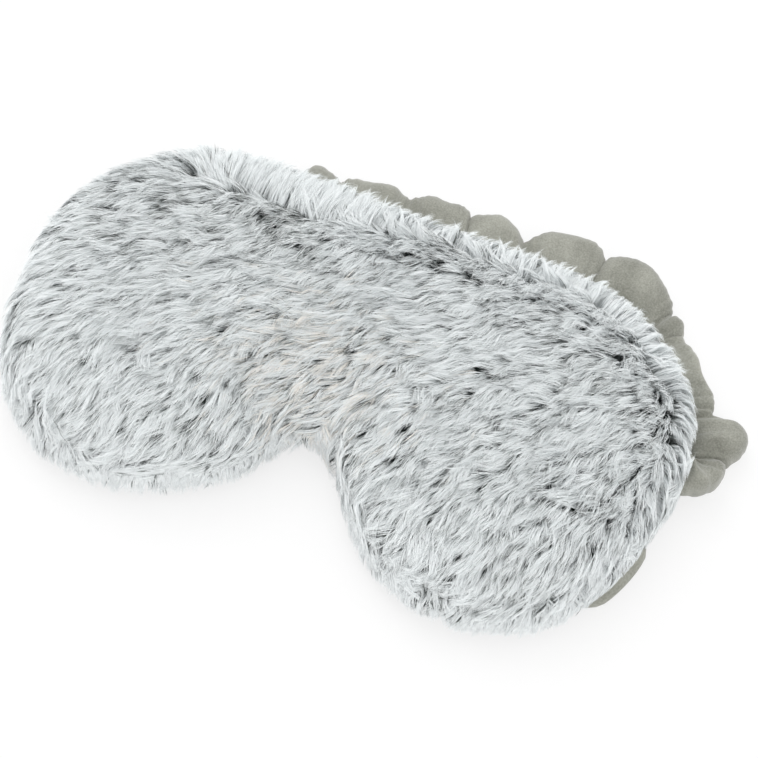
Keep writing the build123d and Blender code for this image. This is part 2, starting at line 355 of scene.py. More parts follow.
def fabric_material(name, dark, light, grain, sheen):
    """Short plush: fine grain, soft mottling and a light sheen."""
    material, tree, shader = new_material(name, roughness=0.92, specular=0.12, sheen=sheen)
    fine = texture(tree, "ShaderNodeTexNoise", Scale=grain, Detail=3.0).outputs["Fac"]
    broad = texture(tree, "ShaderNodeTexNoise", Scale=60.0, Detail=3.0).outputs["Fac"]
    both = calc(tree, "MULTIPLY_ADD", fine, 0.4, calc(tree, "MULTIPLY", broad, 0.6))
    colour = ramp(tree, both, [(0.32, dark), (0.68, light)])
    tree.links.new(colour.outputs["Color"], shader.inputs["Base Color"])
    relief(tree, shader, fine, strength=0.35, distance=0.0004)
    return material


# ---- covers ----
def triangular_grid(step):
    """Points of a triangular grid over the mask's whole box."""
    xs = np.arange(-HALF_LENGTH, HALF_LENGTH, step)
    ys = np.arange(BOTTOM_Y, TOP_Y, step * TRIANGLE_ROW)
    gx, gy = np.meshgrid(xs, ys)
    shift = np.arange(len(ys)) % 2 * step / 2
    return gx + shift[:, None], gy


def filled_outline(height, step, rings):
    """Points and triangles that fill the outline: rings near the edge, then a triangular grid."""
    border = outline_points(0.0, step)
    points = [border]
    for d in rings:
        points.append(outline_points(d, step))
    gx, gy = triangular_grid(step)
    inner = inset(gx, gy) > rings[-1] + 0.7 * step
    points.append(np.stack([gx[inner], gy[inner]], 1))
    count = len(border)
    edges = [(n, (n + 1) % count) for n in range(count)]
    flat = np.concatenate(points)
    made = delaunay_2d_cdt([Vector(p) for p in flat], edges, [], 1, 1e-4)
    plan = np.array([tuple(v) for v in made[0]])
    return np.column_stack([plan, height(plan[:, 0], plan[:, 1])]), made[2]


def front_ground():
    """Knitted ground that carries the pile; it shows only where the pile parts."""
    verts, faces = filled_outline(front_z, FRONT_STEP, FRONT_RINGS)
    material, tree, shader = new_material("knitted_ground", roughness=0.95, specular=0.1)
    noise = texture(tree, "ShaderNodeTexNoise", Scale=500.0, Detail=3.0)
    colour = ramp(tree, noise.outputs["Fac"], [(0.35, GROUND_DARK), (0.7, GROUND_LIGHT)])
    tree.links.new(colour.outputs["Color"], shader.inputs["Base Color"])
    obj = new_object("front_ground", verts, faces, material)
    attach(obj, "mask")
    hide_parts("front_cover")


def back_z(x, y):
    """Height of the back: a flat rest face, a sloping edge and puckers beside the seam."""
    d = np.maximum(inset(x, y), 0)
    slope = np.clip(1 - d / BACK_MARGIN, 0, 1)
    around = np.arctan2(y + 20, x)
    pucker = np.sin(around * PUCKERS + 2 * np.sin(around * 7)) * np.exp(-d / 7) * np.clip(d / 2, 0, 1)
    return SEAM_Z * slope**1.05 + PUCKER_HEIGHT * pucker


def back_plush():
    """The plush back, bulging out from under the pile at the lower right edge."""
    verts, faces = filled_outline(back_z, BACK_STEP, BACK_RINGS)
    x, y = verts[:, 0].copy(), verts[:, 1].copy()
    d = inset(x, y)
    gx, gy = inward(x, y)
    t = np.clip(d / BACK_BULGE_DEPTH, 0, 1)
    bulged = BACK_BULGE_DEPTH * t**2.2 - BACK_BULGE * np.sin(np.pi * t)
    bare = bare_angle(x, y)
    move = np.where(d < BACK_BULGE_DEPTH, (d - bulged) * bare, 0)
    verts[:, 0] -= gx * move
    verts[:, 1] -= gy * move
    verts[:, 2] -= BACK_BULGE_SAG * bare * np.sin(np.pi * t)
    faces = [tuple(reversed(f)) for f in faces]
    material = fabric_material("plush_back", BAND_DARK, BAND_LIGHT, grain=1400.0, sheen=0.3)
    obj = new_object("back_plush", verts, faces, material)
    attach(obj, "mask")
    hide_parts("back_cover")


# ---- pile ----
def angle_mix(a, b, w):
    """Turns direction a towards b by w."""
    x = np.cos(a) * (1 - w) + np.cos(b) * w
    y = np.sin(a) * (1 - w) + np.sin(b) * w
    return np.arctan2(y, x)


def smooth_step(v, low, high):
    """0 below low, 1 above high, and smooth between them."""
    t = np.clip((v - low) / (high - low), 0, 1)
    return t * t * (3 - 2 * t)


def near_angle(x, y, cx, cy, middle, width):
    """1 in a direction from a centre, in degrees, fading over width."""
    around = np.degrees(np.arctan2(y - cy, x - cx))
    off = (around - middle + 180) % 360 - 180
    return np.exp(-((off / width) ** 2))


def part_depth(x):
    """How far behind the forehead edge the pile parts: deeper on the left lobe."""
    return 8.5 + 9.5 * smooth_step(-x, -4, 26)


def rim_weight(x, y):
    """1 where the pile leans out over the forehead edge, 0 where it follows the main nap."""
    d, depth = inset(x, y), part_depth(x)
    soft = 1.2 + 5.0 * np.exp(-(((x + 8) / 13) ** 2))
    top = smooth_step(x, -84, -58) * smooth_step(y, 6, 20)
    return top * (1 - smooth_step(d, depth - soft, depth + soft))


def flare_weight(x, y):
    """How strongly the pile flares outwards at the right-hand edge."""
    edge = 0.75 * smooth_step(x, 84, 102) * (1 - smooth_step(inset(x, y), 1, 9))
    return edge * (1 - smooth_step(-y, 24, 50))


def bare_angle(x, y):
    """1 beside the lower right edge, where the back's plush bulges into view."""
    around = np.degrees(np.arctan2(y - LOBE_Y, x - HALF_SPACING))
    return smooth_step(around, -60, -30) * (1 - smooth_step(around, -10, 14)) * smooth_step(x, 60, 80)


def bare_weight(x, y):
    """1 on the edge itself there, where the pile is short."""
    return bare_angle(x, y) * (1 - smooth_step(inset(x, y), 3, 9))


def nap(x, y):
    """Direction the pile is brushed, and how much it stands up, over the plan."""
    d = inset(x, y)
    gx, gy = inward(x, y)
    outward = np.arctan2(-gy, -gx)
    degrees = BRUSHED + 24 * smooth_step(-y, 10, 62)
    degrees = degrees + 9 * smooth_noise(x, y, 60, 11)
    degrees = degrees + 7 * smooth_noise(x, y, 21, 12)
    base = np.radians(degrees)
    rim, flare = rim_weight(x, y), flare_weight(x, y)
    edge = (1 - smooth_step(d, 0.5, 8)) * 0.85
    a = angle_mix(base, outward, edge)
    lean = outward - 0.25 * rim
    a = angle_mix(a, lean, np.maximum(rim, flare))
    return a, np.clip(rim + 0.35 * flare, 0, 1)


def parting(x, y):
    """How strongly the nap runs apart at a point."""
    e = 1.5
    def flow(px, py):
        a, _ = nap(px, py)
        return np.cos(a), np.sin(a)
    (x1, _), (x0, _) = flow(x + e, y), flow(x - e, y)
    (_, y1), (_, y0) = flow(x, y + e), flow(x, y - e)
    return ((x1 - x0) + (y1 - y0)) / (2 * e)


def lock_grid(spacing):
    """A triangular grid whose points are shifted about."""
    gx, gy = triangular_grid(spacing)
    gx = (gx + rng.uniform(-0.36, 0.36, gx.shape) * spacing).ravel()
    gy = (gy + rng.uniform(-0.36, 0.36, gy.shape) * spacing).ravel()
    return gx, gy


def locks():
    """Roots of the locks: a loose grid, rings round the edge, and more where the nap parts."""
    roots = []
    for d in EDGE_RINGS:
        roots.append(outline_points(d, LOCK_SPACING * 0.8))
    gx, gy = lock_grid(LOCK_SPACING)
    inner = inset(gx, gy) > EDGE_RINGS[-1] + LOCK_SPACING * 0.5
    roots.append(np.stack([gx[inner], gy[inner]], 1))
    gx, gy = lock_grid(LOCK_SPACING * 0.7)
    apart = (parting(gx, gy) > 0.07) & (inset(gx, gy) > 2.0)
    apart &= rng.uniform(0, 1, len(gx)) < 0.8
    roots.append(np.stack([gx[apart], gy[apart]], 1))
    return np.concatenate(roots)


def lock_paths(roots, steps):
    """Middle lines of the locks, their normals and sideways directions, and how calm each lies."""
    x, y = roots.T
    count = len(x)
    a, stand = nap(x, y)
    calm = np.maximum(stand, 0.45 * (1 - smooth_step(inset(x, y), 2, 8)))
    apart = smooth_step(parting(x, y), 0.04, 0.12)
    a = a + rng.normal(0, 0.15, count) * (1 - 0.6 * calm)
    a = a + rng.normal(0, 0.45, count) * apart * (1 - stand)
    length = PILE_LENGTH * rng.uniform(0.86, 1.10, count) * (1 - 0.08 * calm)
    left_brow = near_angle(x, y, -HALF_SPACING, BROW_Y, *LEFT_BROW)
    left_brow *= 1 - smooth_step(inset(x, y), 4, 16)
    bare = bare_weight(x, y)
    length = length * (1 - 0.4 * bare) * (1 - 0.22 * left_brow)
    hang = rng.uniform(0.5, 1.15, count) * (1 - 0.8 * bare)
    first = np.radians(rng.normal(ROOT_LIFT, LIFT_SPREAD, count) + STANDING_ROOT * stand)
    last = np.radians(rng.normal(TIP_LIFT, LIFT_SPREAD, count) + STANDING_TIP * stand)
    curl = rng.normal(0, 0.26, count) * (1 - 0.7 * calm)
    wave = rng.uniform(0, 2 * math.pi, count)
    at = np.column_stack([x, y, front_z(x, y)])
    path, normals, sides = [at.copy()], [], []
    for n in range(steps + 1):
        px, py = at[:, 0], at[:, 1]
        s = n / steps
        normal = front_normal(px, py)
        below = np.clip((SEAM_Z + 6 - at[:, 2]) / 6, 0, 1)[:, None]
        gx, gy = inward(px, py)
        out = np.column_stack([-gx, -gy, np.zeros(count)])
        normal = normal * (1 - below) + out * below
        normal /= np.linalg.norm(normal, axis=1, keepdims=True)
        heading = a + curl * s + 0.2 * np.sin(wave + 5 * s) * (1 - calm)
        flat = np.column_stack([np.cos(heading), np.sin(heading), np.zeros(count)])
        flat[:, 2] -= hang * below[:, 0] * (1 - stand)
        along = flat - (flat * normal).sum(1, keepdims=True) * normal
        along /= np.maximum(np.linalg.norm(along, axis=1, keepdims=True), 1e-6)
        lift = first + (last - first) * smooth_step(np.full(count, s), 0.0, 0.8)
        step = np.cos(lift)[:, None] * along + np.sin(lift)[:, None] * normal
        normals.append(normal)
        sides.append(np.cross(normal, along))
        if n < steps:
            at = at + step * (length / steps)[:, None]
            path.append(at.copy())
    return np.array(path), np.array(normals), np.array(sides), calm


# Where the pile is clipped closer or left longer: side of the mask, height of the arc's centre,
# direction and width in degrees, least distance from the middle, and change of reach
CLIPPED = (
    (-1, BROW_Y, *LEFT_BROW, HALF_SPACING, -4.4),
    (1, BROW_Y, 58, 26, HALF_SPACING, -3.6),
    (-1, LOBE_Y, -138, 24, HALF_SPACING, 4.4),
    (-1, LOBE_Y, -62, 26, 0, -3.4),
    (1, LOBE_Y, -142, 30, 8, -3.6),
)
CLIPPING = 0.78             # share of what stands out further that is taken back
FLOOR_GAP = 2.0             # strands nearer to the floor than this are lifted


def overhang(x, y):
    """How far the pile may stand out over the outline."""
    reach = OVERHANG
    for side, cy, middle, width, limit, change in CLIPPED:
        near = near_angle(x, y, side * HALF_SPACING, cy, middle, width)
        reach = reach + change * near * (side * x > limit)
    return reach * (1 - 0.35 * bare_weight(x, y))


def trimmed(points):
    """Keeps the pile's outline even and off the floor."""
    x, y, z = points[..., 0], points[..., 1], points[..., 2]
    extra = np.clip(-inset(x, y) - overhang(x, y), 0, None) * CLIPPING
    gx, gy = inward(x, y)
    low = np.clip(FLOOR_GAP - z, 0, None)
    lifted = z + low * 0.8 + np.clip(-z, 0, None)
    return np.stack([x + gx * extra, y + gy * extra, lifted], -1)


def strands(roots, spread, dark_tufts):
    """Points of every strand: locks split into finer tufts, drawn together towards their tips."""
    steps = STRAND_SEGMENTS * 2
    path, normals, sides, calm = lock_paths(roots, steps)
    count = len(roots)
    tufts = count * TUFTS_PER_LOCK
    total = tufts * STRANDS_PER_TUFT
    lock = np.repeat(np.arange(count), TUFTS_PER_LOCK * STRANDS_PER_TUFT)
    tuft = np.repeat(np.arange(tufts), STRANDS_PER_TUFT)
    tuft_off = rng.uniform(-1, 1, (tufts, 2)) * spread
    tuft_drift = rng.normal(0, TUFT_DRIFT, (tufts, 2)) * (0.8, 0.45)
    together = np.where(dark_tufts, DARK_GATHER, 1.0)[tuft, None]
    strand_off = rng.normal(0, STRAND_SPREAD, (total, 2)) * together
    strand_fly = rng.normal(0, STRAND_FLY, (total, 2))
    strand_fly *= (0.25 + 1.3 * (rng.uniform(0, 1, total) > 0.72))[:, None]
    trim = np.clip(rng.normal(0.94, 0.08, total), 0.6, 1.04)
    tuft_trim = np.clip(rng.normal(0.93, 0.12, tufts), 0.5, 1.1)[tuft]
    tuft_trim = 1 + (tuft_trim - 1) * (1 - 0.6 * calm[lock])
    pull = (rng.uniform(0.05, 0.5, count) * (1 - 0.75 * calm))[lock]
    tuft_pull = rng.uniform(-0.1, 0.6, tufts)[tuft]
    steady = 1 - 0.55 * calm[lock]
    points = []
    along0 = np.cross(sides[0], normals[0])[lock]
    for n in range(STRAND_SEGMENTS + 1):
        s = n / STRAND_SEGMENTS * trim * tuft_trim
        k = np.clip(s * steps, 0, steps - 1e-3)
        low = k.astype(int)
        f = (k - low)[:, None]
        high = np.minimum(low + 1, steps)
        centre = path[low, lock] * (1 - f) + path[high, lock] * f
        normal = normals[low, lock] * (1 - f) + normals[high, lock] * f
        side = sides[low, lock] * (1 - f) + sides[high, lock] * f
        gather = (1 - pull * s**0.8)[:, None]
        fine = (1 - tuft_pull * s)[:, None]
        off = tuft_off[tuft] * gather + strand_off * fine
        drift = (tuft_drift[tuft] + strand_fly) * (s**1.5 * steady)[:, None]
        across = off[:, :1] + drift[:, :1] * 1.6
        points.append(centre + side * across + along0 * off[:, 1:] + normal * drift[:, 1:])
    return trimmed(np.array(points)), normals[0][lock], lock, tuft


def ribbon_edges(points, normal):
    """Both edges of every strand's ribbon: narrow, tapering and rolled at random."""
    levels, count = points.shape[:2]
    tangent = np.gradient(points, axis=0)
    tangent /= np.maximum(np.linalg.norm(tangent, axis=2, keepdims=True), 1e-9)
    side = np.cross(tangent, normal[None])
    side /= np.maximum(np.linalg.norm(side, axis=2, keepdims=True), 1e-9)
    up = np.cross(side, tangent)
    roll = rng.normal(0, 0.45, count)[None, :, None]
    side = side * np.cos(roll) + up * np.sin(roll)
    taper = np.interp(np.linspace(0, 1, levels), *STRAND_TAPER)[:, None, None]
    half = STRAND_WIDTH / 2 * taper * rng.uniform(0.7, 1.3, count)[None, :, None]
    edges = np.stack([points - side * half, points + side * half], 2)
    return edges.transpose(1, 0, 2, 3).reshape(-1, 3)


def quad_mesh(name, verts, quads):
    """Smooth mesh of four-sided faces, filled from arrays because it is large."""
    mesh = bpy.data.meshes.new(name)
    mesh.vertices.add(len(verts))
    mesh.vertices.foreach_set("co", (verts * MM).astype(np.float32).ravel())
    mesh.loops.add(quads.size)
    mesh.loops.foreach_set("vertex_index", quads.astype(np.int32).ravel())
    mesh.polygons.add(len(quads))
    mesh.polygons.foreach_set("loop_start", np.arange(0, quads.size, 4, dtype=np.int32))
    mesh.update(calc_edges=True)
    mesh.polygons.foreach_set("use_smooth", np.ones(len(quads), dtype=bool))
    return mesh


def ribbons(name, points, normal, tone, root_level, material):
    """One mesh of narrow tapering ribbons, with their places in the colour map."""
    levels, count = points.shape[:2]
    base = (np.arange(count) * levels * 2)[:, None] + (np.arange(levels - 1) * 2)[None]
    quads = np.stack([base, base + 1, base + 3, base + 2], 2).reshape(-1, 4)
    mesh = quad_mesh(name, ribbon_edges(points, normal), quads)
    along = (np.arange(levels) / (levels - 1))[None, :, None]
    level = root_level[:, None, None] * (1 - along) + TIP_LEVEL * along
    u = tone[:, None, None] + np.array([-TONE_HALF_WIDTH, TONE_HALF_WIDTH])[None, None, :]
    uv = np.stack(np.broadcast_arrays(u, level), 3).reshape(-1, 2)
    layer = mesh.uv_layers.new(name="OFBake")
    layer.data.foreach_set("uv", uv[quads.ravel()].astype(np.float32).ravel())
    mesh.materials.append(material)
    obj = bpy.data.objects.new(name, mesh)
    bpy.context.collection.objects.link(obj)
    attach(obj, "mask")


REGIONS = {
    "pile_left_brow": lambda x, y: (x < -40) & (y >= -20),
    "pile_left_cheek": lambda x, y: (x < -62) & (y < -20),
    "pile_left_nose": lambda x, y: (x >= -62) & (x < -8) & (y < -20),
    "pile_bridge": lambda x, y: (x >= -40) & (x < 40) & (y >= -20),
    "pile_right_nose": lambda x, y: (x >= -8) & (x < 62) & (y < -20),
    "pile_right_cheek": lambda x, y: (x >= 62) & (y < -20),
    "pile_right_brow": lambda x, y: (x >= 40) & (y >= -20),
}


def patch(x, y, cx, cy, wide, deep):
    """1 at a centre, fading round it in an ellipse."""
    return np.exp(-(((x - cx) / wide) ** 2 + ((y - cy) / deep) ** 2))


def dark_share(x, y):
    """Share of the tufts that are dark nearly to their tips: few on the lower left and the rim, more
    along two partings as painted shade in their valleys.
    """
    left = smooth_step(-x, 10, 60)
    share = 0.08 + 0.09 * left - 0.11 * left * smooth_step(-y, -10, 25)
    share = share * (1 + 0.9 * smooth_noise(x, y, 26, 21))
    # Painted shade: extra dark tufts in the valleys of two partings below the forehead rim.
    left_parting_shade = patch(x, y, -32, 19, 15, 4.5)
    middle_parting_shade = patch(x, y, 22, 28, 10, 3.5)
    share = share + 0.45 * left_parting_shade + 0.3 * middle_parting_shade
    return share * (1 - 0.85 * rim_weight(x, y))


def within(tones, t):
    """Place in the colour map, from the start and width of a run of tones."""
    start, width = tones
    return start + width * t


def pile():
    """The long pile, in one piece for each part of the face it covers."""
    material = pile_material()
    roots = locks()
    x, y = roots.T
    cream = 0.34 * patch(x, y, -5, -27, 26, 20)
    lock_of_tuft = np.repeat(np.arange(len(x)), TUFTS_PER_LOCK)
    dark_tufts = rng.uniform(0, 1, len(lock_of_tuft)) < dark_share(x, y)[lock_of_tuft]
    cream_tufts = rng.uniform(0, 1, len(lock_of_tuft)) < cream[lock_of_tuft]
    points, normal, lock, tuft = strands(roots, LOCK_SPACING * 0.75, dark_tufts)
    is_dark = dark_tufts[tuft] & (rng.uniform(0, 1, len(tuft)) < DARK_STRANDS)
    tuft_tone = rng.uniform(0, 1, len(lock_of_tuft))[tuft]
    tone = np.where(is_dark, within(DARK_TONES, tuft_tone), within(PLAIN_TONES, tuft_tone))
    tone = np.where(cream_tufts[tuft] & ~is_dark, within(CREAM_TONES, tuft_tone), tone)
    tone = tone + np.clip(rng.normal(0, 0.006, len(tone)), -0.02, 0.02)
    # Rim and edge strands turn pale nearer their roots: partly the pile's own pale tips, partly
    # painted light that lifts the upright strands out of their shade.
    calm = np.maximum(rim_weight(x, y), 0.6 * (1 - smooth_step(inset(x, y), 1, 7)))
    left_low = smooth_step(-x, 10, 60) * smooth_step(-y, -10, 25)
    root_level = ROOT_LEVEL + np.maximum(0.36 * calm, 0.12 * left_low)[lock]
    for name, holds in REGIONS.items():
        own = holds(x, y)[lock]
        ribbons(name, points[:, own], normal[own], tone[own], root_level[own], material)


# ---- band ----
BAND_LEFT_R, BAND_RIGHT_R = 52.0, 63.0
BAND_Z = 4.6                 # height of the band's middle line where it lies on the floor
BAND_BOTTOM = 0.3
BAND_GAP = 0.5
ELASTIC_INSET = 1.2          # the elastic runs this far inside the sleeve's middle line
ELASTIC_HALF_WIDTH = 4.2
ELASTIC_HALF_THICKNESS = 0.3
SEWN_HALF = 2.0              # half the sleeve's thickness at its sewn-in ends
SLEEVE_ROWS, SLEEVE_AROUND = 900, 88
STITCH, STITCH_SPACE = 3.0, 1.0
STITCH_RADIUS = 0.25
# Where the scrunched sleeve pinches in, as distances along the band, and how far each puff
# between two pinches reaches outwards
PINCHES = (0, 7, 19, 37, 57, 77, 96, 112, 138, 164, 186, 211, 237, 244, 275, 294, 313)
PINCH_REACHES = (5, 4, 4, 4.5, 5, 8, 13, 15, 15.5, 14, 9.0, 12.0, 8.5, 7.0, 3.6, 5.0, 6.0)
PUFF_REACHES = (5, 5, 5.5, 6, 8, 12, 18.5, 18.5, 18.0, 16.5, 18.5, 18.5, 9.5, 5.0, 14.5, 7.0)


def brow_arc(cx, radius, start, end):
    """Points of an arc round a brow, in plan."""
    arc = np.radians(np.linspace(start, end, 40))
    return np.stack([cx + radius * np.cos(arc), BROW_Y + radius * np.sin(arc)], 1)


def band_route():
    """Middle line of the band from its left end in the side seam to its right end."""
    left = [(-111.5, -10, 12.0), (-114.5, -10, 12.0), (-115.8, -8.6, 10.0), (-114.6, -4.5, 6.0)]
    left_arc = brow_arc(-HALF_SPACING, BAND_LEFT_R, 167, 90)
    x = np.linspace(-HALF_SPACING + 2, HALF_SPACING - 2, 60)
    low, high = BROW_Y + BAND_LEFT_R, BROW_Y + BAND_RIGHT_R
    middle = np.stack([x, low + (high - low) * smooth_step(x, -HALF_SPACING, HALF_SPACING)], 1)
    right_arc = brow_arc(HALF_SPACING, BAND_RIGHT_R, 90, 14)
    plan = np.concatenate([left_arc, middle, right_arc])
    run = np.column_stack([plan, np.full(len(plan), BAND_Z)])
    right = [
        (123.4, -1.5, 6.4), (123.8, -5.8, 9.6), (121.6, -9.4, 11.6),
        (117.6, -10, 12.0), (111.5, -10, 12.0),
    ]
    line = np.concatenate([left, run, right])
    for _ in range(3):
        line[1:-1] = 0.25 * line[:-2] + 0.5 * line[1:-1] + 0.25 * line[2:]
    return line


def room_above(x, y):
    """Highest point that the band may reach under the mask and its pile."""
    d = inset(x, y)
    under = SEAM_Z * (1 - np.clip(d, 0, BACK_MARGIN) / BACK_MARGIN) - BAND_GAP
    return np.where(d > 0, under, 11.5 + 0.22 * np.clip(-d, 0, 12))


def puff_shape(at, full):
    """Where a point along the band is in its puff: number, share, distance to a pinch and height."""
    pinches = np.array(PINCHES) * full / PINCHES[-1]
    last_puff = len(PUFF_REACHES) - 1
    number = np.searchsorted(pinches, at.ravel(), side="right") - 1
    k = np.clip(number, 0, last_puff).reshape(at.shape)
    wide = pinches[k + 1] - pinches[k]
    t = (at - pinches[k]) / wide
    skewed = t ** np.exp(0.35 * np.sin(k * 2.7))
    puff = np.clip(1 - np.abs(2 * skewed - 1) ** 2.2, 0, 1) ** 0.62
    return k, t, np.minimum(t, 1 - t) * wide, puff


def outer_reach(k, t, puff):
    """How far the sleeve reaches out from its middle line."""
    valley = np.array(PINCH_REACHES)[k] * (1 - t) + np.array(PINCH_REACHES)[k + 1] * t
    return valley + (np.array(PUFF_REACHES)[k] - valley) * puff


def fine_folds(at, c, k, near, puff):
    """Small pleats, deepest beside the pinches and on the elastic's side."""
    elastic_side = np.clip(0.6 - 0.5 * c, 0, 1)
    folds = np.sin(at * 1.25 + 1.9 * np.sin(at * 0.21)) * (0.25 + np.exp(-near / 7)) * elastic_side
    folds += 0.8 * np.sin(at * 0.60 + 2.1 * np.sin(at * 0.13 + 1)) * elastic_side
    folds += 0.8 * np.sin(at * 0.36 + 2.4 * c + 1.3 * k) * (0.3 + 0.7 * puff)
    folds += 0.55 * np.sin(at * 2.1 + 2.0 * np.sin(at * 0.4)) * np.exp(-near / 3.5)
    return folds


def sleeve_section(s, full, c, at):
    """How far the sleeve's surface is from its middle line: across, above and below."""
    k, t, near, puff = puff_shape(at, full)
    folds = fine_folds(at, c, k, near, puff)
    ends = np.minimum(s, full - s)
    open_end = smooth_step(ends, 0, 9)
    sewn_end = SEWN_HALF * (1 - open_end)
    inner = 8.0 - 2.0 * (1 - puff) - 1.5 * (1 - smooth_step(ends, 4, 24))
    reach = np.where(c > 0, outer_reach(k, t, puff), inner)
    across = np.sign(c) * np.abs(c) ** 0.85 * reach + 0.7 * folds * c
    above = (4.2 + 5.4 * puff * np.clip(0.5 + 0.65 * c, 0.3, 1.05) + 0.9 * folds) * open_end
    return across, above + sewn_end, 5.5 * open_end + sewn_end


def sleeve_grid(line):
    """Points of the gathered tube, which starts and ends at its outer side."""
    along = np.concatenate([[0], np.cumsum(np.linalg.norm(np.diff(line, axis=0), axis=1))])
    full = along[-1]
    s = np.linspace(0, full, SLEEVE_ROWS)[:, None]
    theta = np.linspace(0, 2 * np.pi, SLEEVE_AROUND)[None, :]
    c, q = np.cos(theta), np.sin(theta)
    lean = 2.4 * np.sin(s / 23.0) + 1.2 * np.sin(s / 9.0 + 1)
    at = np.clip(s + lean * (c * 0.8 + 0.3 * q), 0.01, full - 0.01)
    across, above, below = sleeve_section(s, full, c, at)
    centre = [np.interp(s[:, 0], along, line[:, n]) for n in range(3)]
    tx, ty = np.gradient(centre[0]), np.gradient(centre[1])
    size = np.hypot(tx, ty)
    x = centre[0][:, None] - (ty / size)[:, None] * across
    y = centre[1][:, None] + (tx / size)[:, None] * across
    middle_z = centre[2][:, None]
    down = np.minimum(middle_z - BAND_BOTTOM, below)
    z = middle_z + np.where(q > 0, np.abs(q) ** 0.8 * above, -(np.abs(q) ** 0.8) * down)
    limit = room_above(x, y)
    sewn = 1 - smooth_step(np.minimum(s, full - s), 6, 20)
    z = np.where(z > limit, limit * (1 - sewn) + z * sewn, z)
    z = np.maximum(z, BAND_BOTTOM + 0.3 * (1 + np.sin(at * 0.9)) * (1 - np.abs(c)))
    return np.stack([x, y, z], -1), np.column_stack(centre)


def sleeve():
    """The gathered tube as a sheet: its points, and its middle line."""
    grid, line = sleeve_grid(band_route())
    material = fabric_material("band_plush", BAND_DARK, BAND_LIGHT, grain=1700.0, sheen=0.45)
    faces = grid_faces(SLEEVE_ROWS, SLEEVE_AROUND)
    obj = new_object("band_sleeve_gathered", grid.reshape(-1, 3), faces, material)
    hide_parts("band_sleeve", "sleeve_end_left", "sleeve_end_right")
    across_hinge(obj)
    return grid, line


def grid_faces(rows, columns):
    """Four-sided faces between the points of a grid."""
    i, j = np.meshgrid(np.arange(rows - 1), np.arange(columns - 1), indexing="ij")
    corner = (i * columns + j).ravel()
    return np.stack([corner, corner + 1, corner + columns + 1, corner + columns], 1).tolist()


def across_hinge(obj):
    """Bakes the cloth's placement into its mesh."""
    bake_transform(obj)


def inner_elastic(line):
    """The woven elastic inside the sleeve, from side seam to side seam."""
    along = np.gradient(line, axis=0)
    side = np.stack([-along[:, 1], along[:, 0], np.zeros(len(line))], 1)
    side /= np.linalg.norm(side, axis=1, keepdims=True)
    rise = np.array([0, 0, ELASTIC_HALF_THICKNESS])
    line = line - side * ELASTIC_INSET
    inner, outer = line - side * ELASTIC_HALF_WIDTH, line + side * ELASTIC_HALF_WIDTH
    ring = np.stack([inner - rise, outer - rise, outer + rise, inner + rise, inner - rise], 1)
    faces = grid_faces(*ring.shape[:2])
    obj = new_object("inner_elastic", ring.reshape(-1, 3), faces, elastic_material(), smooth=False)
    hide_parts("band_elastic", "elastic_end_left", "elastic_end_right")
    across_hinge(obj)


def elastic_material():
    """Woven elastic: fine ribs."""
    material, tree, shader = new_material("woven_elastic", roughness=0.8, specular=0.2)
    ribs = texture(tree, "ShaderNodeTexWave", Scale=420.0, Distortion=0.6)
    colour = ramp(tree, ribs.outputs["Fac"], [(0.2, ELASTIC_DARK), (0.8, ELASTIC_LIGHT)])
    tree.links.new(colour.outputs["Color"], shader.inputs["Base Color"])
    relief(tree, shader, ribs.outputs["Fac"], strength=0.4, distance=0.0002)
    return material


def thread_material():
    """Twisted polyester thread."""
    material, tree, shader = new_material("twisted_thread", roughness=0.6, specular=0.35)
    twist = texture(
        tree, "ShaderNodeTexWave", Scale=900.0, Distortion=1.5, bands_direction="DIAGONAL"
    )
    colour = ramp(tree, twist.outputs["Fac"], [(0.1, THREAD_DARK), (0.9, THREAD_LIGHT)])
    tree.links.new(colour.outputs["Color"], shader.inputs["Base Color"])
    relief(tree, shader, twist.outputs["Fac"], strength=0.5, distance=0.0001)
    return material


def stitch_row(name, points, material):
    """Short bowed stitches along a line of points."""
    along = np.concatenate([[0], np.cumsum(np.linalg.norm(np.diff(points, axis=0), axis=1))])
    verts, faces = [], []
    sides, levels = 6, 5
    for start in np.arange(0.5, along[-1] - STITCH, STITCH + STITCH_SPACE):
        t = np.linspace(0, 1, levels)
        middle = np.stack([np.interp(start + STITCH * t, along, points[:, n]) for n in range(3)], 1)
        tangent = np.gradient(middle, axis=0)
        tangent /= np.linalg.norm(tangent, axis=1, keepdims=True)
        side = np.cross(tangent, (0, 0, 1.0))
        side /= np.linalg.norm(side, axis=1, keepdims=True)
        up = np.cross(side, tangent)
        first = len(verts)
        for level in range(levels):
            r = STITCH_RADIUS * math.sin(math.pi * (0.12 + 0.76 * t[level])) ** 0.5
            for a in np.linspace(0, 2 * math.pi, sides, endpoint=False):
                spoke = math.cos(a) * side[level] + math.sin(a) * up[level]
                verts.append(middle[level] + r * spoke)
        for level in range(levels - 1):
            for k in range(sides):
                a = first + level * sides + k
                b = first + level * sides + (k + 1) % sides
                faces.append((a, b, b + sides, a + sides))
        faces.append(tuple(first + k for k in reversed(range(sides))))
        faces.append(tuple(first + (levels - 1) * sides + k for k in range(sides)))
    return new_object(name, verts, faces, material)


def band(thread):
    """The sleeve, the elastic inside it and the stitches of its long seam."""
    grid, line = sleeve()
    inner_elastic(line)
    under = round(grid.shape[1] * 0.75)
    row = grid[12:-12:4, under] + (0, 0, 0.02)
    row[:, 2] = np.maximum(row[:, 2], 0.3)
    obj = stitch_row("sleeve_seam_stitches", row, thread)
    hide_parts("sleeve_seam_thread")
    across_hinge(obj)


# ---- pieces inside the mask ----
THREAD_PITCH = 0.0007       # metres from one thread of the weave to the next
WAVE_FACTOR = 20            # a wave texture's own factor on its scale
KERNELS_PER_METRE = 330.0
LAVENDER_SHARE = 0.07       # of the kernels


